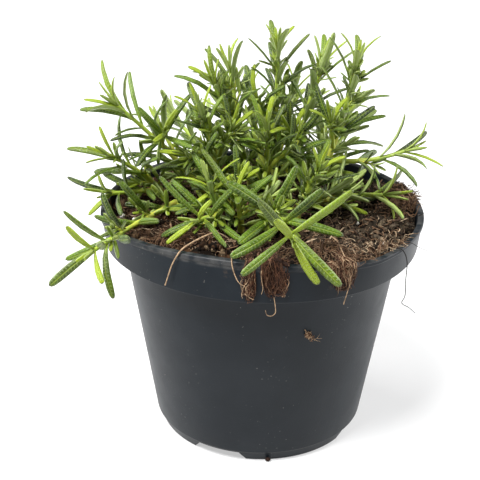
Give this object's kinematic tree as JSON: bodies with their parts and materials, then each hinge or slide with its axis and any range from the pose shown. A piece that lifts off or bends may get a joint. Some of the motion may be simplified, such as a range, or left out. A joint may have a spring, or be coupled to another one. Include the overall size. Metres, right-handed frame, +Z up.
{
  "type": "potted rosemary",
  "caption": "Young bushy rosemary plant in a round tapered plastic nursery pot with a rim band, peat soil and root threads hanging over the rim.",
  "frame": {"origin": "middle of the bounding box, on the surface that the pot's foot ring stands on", "axes": "+Z up out of the pot, -Y towards the side that the picture shows, +X to the right in it"},
  "size_m": [0.1524, 0.1386, 0.1649],
  "materials": {
    "pot_plastic": "satin",
    "peat": "matte",
    "rosemary": "satin",
    "dry_root": "matte",
    "perlite": "matte"
  },
  "bodies": {
    "root": {"pot": "pot_plastic", "soil": "peat", "stem_back": "rosemary", "stem_back_left": "rosemary", "stem_back_right": "rosemary", "stem_centre": "rosemary", "stem_centre_left": "rosemary", "stem_centre_right": "rosemary", "stem_front": "rosemary", "stem_front_high": "rosemary", "stem_front_left": "rosemary", "stem_left_high": "rosemary", "stem_left_low": "rosemary", "stem_left_middle": "rosemary", "stem_middle_left": "rosemary", "stem_right_high": "rosemary", "stem_right_low": "rosemary", "stem_top": "rosemary", "stem_top_left": "rosemary", "stem_top_right": "rosemary", "root_tuft_left": "dry_root", "root_tuft_middle": "dry_root", "root_tuft_right": "dry_root", "perlite_1": "perlite", "perlite_2": "perlite", "perlite_3": "perlite", "perlite_4": "perlite", "perlite_5": "perlite"}
  },
  "joints": []
}
